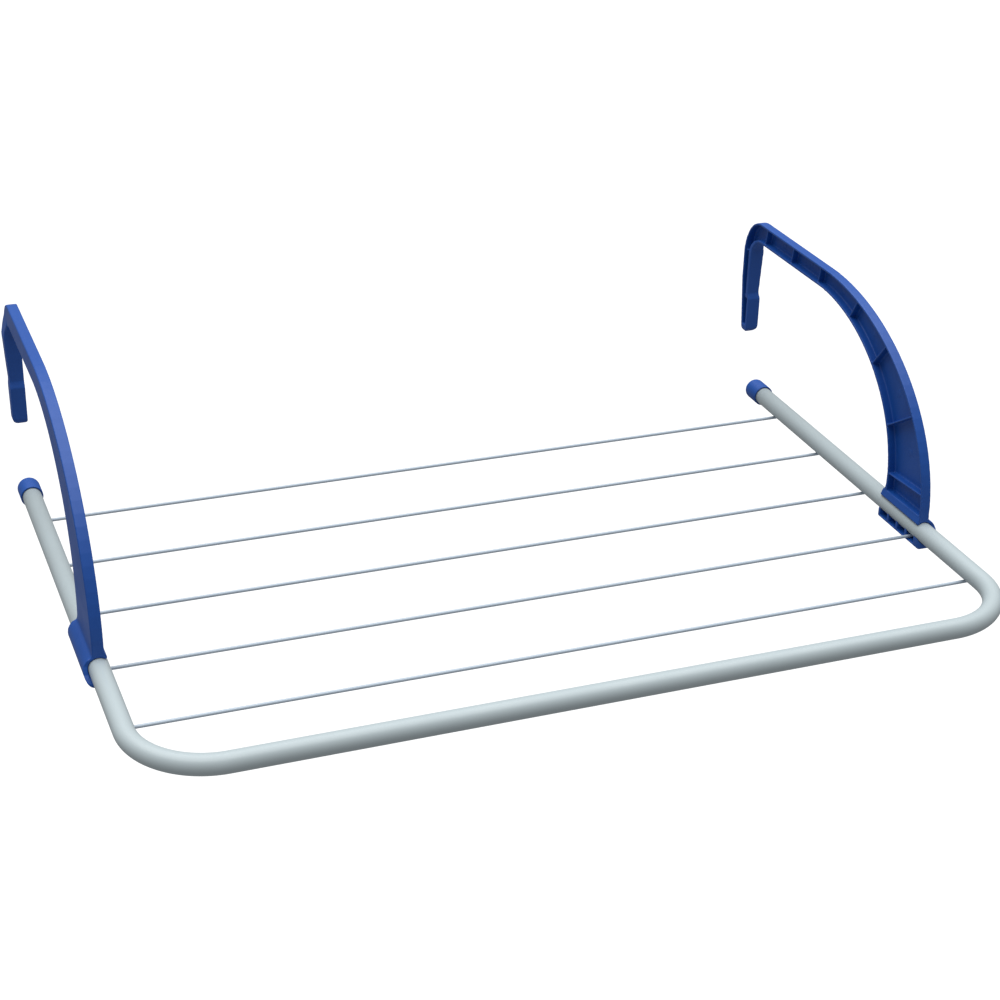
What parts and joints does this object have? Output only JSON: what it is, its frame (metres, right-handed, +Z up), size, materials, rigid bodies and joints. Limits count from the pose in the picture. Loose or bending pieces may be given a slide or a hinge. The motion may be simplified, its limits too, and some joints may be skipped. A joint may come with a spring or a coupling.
{
  "type": "hang-on folding clothes airer",
  "caption": "Hang-on folding clothes airer: a bent steel tube frame with thin drying rails and two hooked plastic arms that fold inward over the rails.",
  "frame": {"origin": "midway between the two hooks, level with the underside of their bars, on the plane of the front of their legs: the edge that the airer hangs on touches here", "axes": "+X to the right seen from the front of the airer, +Y from the front tube towards the wall or edge it hangs on, +Z up"},
  "size_m": [0.7142, 0.5001, 0.1767],
  "materials": {
    "tube_coat": "semi-gloss light grey powder coat on steel tube",
    "rail_coat": "semi-gloss light grey powder coat on steel wire",
    "blue_plastic": "satin moulded blue polypropylene"
  },
  "bodies": {
    "frame": {"frame_tube": "tube_coat", "drying_rail_1": "rail_coat", "drying_rail_2": "rail_coat", "drying_rail_3": "rail_coat", "drying_rail_4": "rail_coat", "drying_rail_5": "rail_coat", "left_end_cap": "blue_plastic", "right_end_cap": "blue_plastic"},
    "left_arm": {"left_arm": "blue_plastic"},
    "right_arm": {"right_arm": "blue_plastic"}
  },
  "joints": [
    {"name": "left_arm_fold", "type": "hinge", "parent": "frame", "child": "left_arm", "pos_m": [-0.345, -0.2985, -0.1456], "axis": [0, 1, 0], "range_deg": [0, 90]},
    {"name": "right_arm_fold", "type": "hinge", "parent": "frame", "child": "right_arm", "pos_m": [0.345, -0.2985, -0.1456], "axis": [0, -1, 0], "range_deg": [0, 90]}
  ]
}
